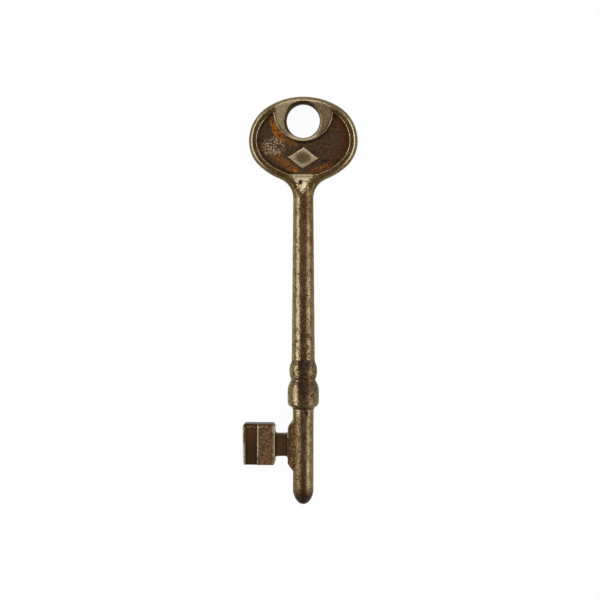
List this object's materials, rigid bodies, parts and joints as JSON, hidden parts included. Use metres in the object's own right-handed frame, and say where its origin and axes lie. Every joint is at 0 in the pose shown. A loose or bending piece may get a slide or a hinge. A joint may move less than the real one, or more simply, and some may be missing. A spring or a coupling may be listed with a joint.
{
  "type": "skeleton key",
  "caption": "Old oval-bow lever-lock bit key in worn, rust-flecked iron: hanging eye, plain lozenge, tapered shank, turned collars, flag bit on a thin web and a plain round pilot",
  "frame": {"origin": "on the stem's axis, halfway along the straight pilot below the bit", "axes": "+Y along the stem towards the bow, -X towards the bit, +Z out of the front face, the one with the lozenge and the ward channel"},
  "size_m": [0.0233, 0.0825, 0.0064],
  "materials": {
    "cast_bow": "aged casting, rust in the recesses and a worn golden sheen on the rims",
    "worn_stem": "handled iron with a dark golden brown sheen and fine pits",
    "worn_collar": "turned iron, rubbed bright on the crowns and dark in the groove",
    "rusty_bit": "dark oxide and red-brown rust with rubbed edges"
  },
  "bodies": {
    "root": {"bow": "cast_bow", "stem": "worn_stem", "upper_collar": "worn_collar", "lower_collar": "worn_collar", "bit": "rusty_bit"}
  },
  "joints": []
}
